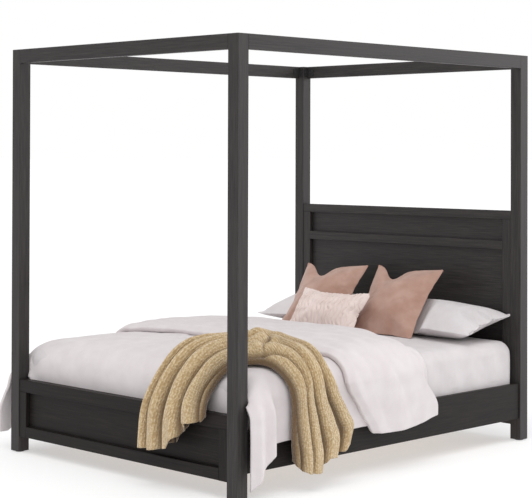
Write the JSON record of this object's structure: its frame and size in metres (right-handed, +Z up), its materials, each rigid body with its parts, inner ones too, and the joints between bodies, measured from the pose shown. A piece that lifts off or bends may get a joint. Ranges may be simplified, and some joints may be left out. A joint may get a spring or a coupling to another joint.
{
  "type": "four poster canopy bed",
  "caption": "Dark stained wooden four poster bed with an open canopy frame, panelled headboard and footboard, slatted base, mattress and dressed bedding.",
  "frame": {"origin": "on the floor, under the middle of the bed", "axes": "+Y along the bed towards the headboard, +X across the bed to the right of a person at the foot, +Z up"},
  "size_m": [1.751, 2.19, 2.06],
  "materials": {
    "ebony_wood": "charcoal stained, open grain, satin",
    "pine": "sanded, unfinished",
    "zinc_steel": "zinc plated",
    "black_steel": "black powder coated",
    "black_nylon": "moulded",
    "sheet_cotton": "plain weave percale",
    "duvet_cotton": "washed cotton, down filled",
    "throw_knit": "chunky knit",
    "pillow_cotton": "plain weave percale",
    "rose_linen": "slub linen",
    "blush_ruched": "ruched velvet"
  },
  "bodies": {
    "bed_frame": {"beam_hangers": "zinc_steel", "canopy_brackets": "black_steel", "canopy_rail_foot": "ebony_wood", "canopy_rail_head": "ebony_wood", "canopy_rail_left": "ebony_wood", "canopy_rail_right": "ebony_wood", "canopy_screws": "black_steel", "centre_beam": "pine", "centre_leg_1": "pine", "centre_leg_2": "pine", "centre_leg_3": "pine", "dowels": "pine", "footboard_bottom_rail": "ebony_wood", "footboard_panel": "ebony_wood", "footboard_stile_left": "ebony_wood", "footboard_stile_right": "ebony_wood", "footboard_top_rail": "ebony_wood", "headboard_bottom_rail": "ebony_wood", "headboard_lower_panel": "ebony_wood", "headboard_mid_rail": "ebony_wood", "headboard_stile_left": "ebony_wood", "headboard_stile_right": "ebony_wood", "headboard_top_rail": "ebony_wood", "headboard_upper_panel": "ebony_wood", "leg_hanger_bolts": "zinc_steel", "post_foot_left": "ebony_wood", "post_foot_right": "ebony_wood", "post_glides": "black_nylon", "post_head_left": "ebony_wood", "post_head_right": "ebony_wood", "post_slot_plates": "zinc_steel", "rail_hook_brackets": "zinc_steel", "rail_screws": "zinc_steel", "side_rail_left": "ebony_wood", "side_rail_right": "ebony_wood", "slat_01": "pine", "slat_02": "pine", "slat_03": "pine", "slat_04": "pine", "slat_05": "pine", "slat_06": "pine", "slat_07": "pine", "slat_08": "pine", "slat_09": "pine", "slat_10": "pine", "slat_cleat_left": "pine", "slat_cleat_right": "pine", "slat_screws": "zinc_steel"},
    "mattress": {"mattress": "sheet_cotton", "duvet": "duvet_cotton", "duvet_fold": "duvet_cotton"},
    "throw_blanket": {"throw_blanket": "throw_knit"},
    "pillow_left": {"pillow_left": "pillow_cotton"},
    "pillow_right": {"pillow_right": "pillow_cotton"},
    "cushion_left": {"cushion_left": "rose_linen"},
    "cushion_right": {"cushion_right": "rose_linen"},
    "lumbar_cushion": {"lumbar_cushion": "blush_ruched"},
    "levelling_foot_1": {"levelling_foot_1": "black_nylon"},
    "levelling_foot_2": {"levelling_foot_2": "black_nylon"},
    "levelling_foot_3": {"levelling_foot_3": "black_nylon"}
  },
  "joints": [
    {"name": "levelling_foot_1_screw", "type": "slide", "parent": "bed_frame", "child": "levelling_foot_1", "axis": [0, 0, 1], "range_m": [-0.012, 0.012]},
    {"name": "levelling_foot_2_screw", "type": "slide", "parent": "bed_frame", "child": "levelling_foot_2", "axis": [0, 0, 1], "range_m": [-0.012, 0.012]},
    {"name": "levelling_foot_3_screw", "type": "slide", "parent": "bed_frame", "child": "levelling_foot_3", "axis": [0, 0, 1], "range_m": [-0.012, 0.012]},
    {"name": "mattress_lift", "type": "slide", "parent": "bed_frame", "child": "mattress", "axis": [0, 0, 1], "range_m": [0, 0.25]},
    {"name": "throw_lift", "type": "slide", "parent": "mattress", "child": "throw_blanket", "axis": [0, 0, 1], "range_m": [0, 0.15]},
    {"name": "pillow_left_draw", "type": "slide", "parent": "mattress", "child": "pillow_left", "axis": [-1, 0, 0], "range_m": [0, 0.15]},
    {"name": "pillow_right_draw", "type": "slide", "parent": "mattress", "child": "pillow_right", "axis": [1, 0, 0], "range_m": [0, 0.15]},
    {"name": "cushion_left_lift", "type": "slide", "parent": "mattress", "child": "cushion_left", "axis": [0, 0.6157, 0.788], "range_m": [0, 0.08]},
    {"name": "cushion_right_lift", "type": "slide", "parent": "mattress", "child": "cushion_right", "axis": [0, 0.6157, 0.788], "range_m": [0, 0.08]},
    {"name": "lumbar_lift", "type": "slide", "parent": "mattress", "child": "lumbar_cushion", "axis": [0, 0.6157, 0.788], "range_m": [0, 0.12]}
  ]
}
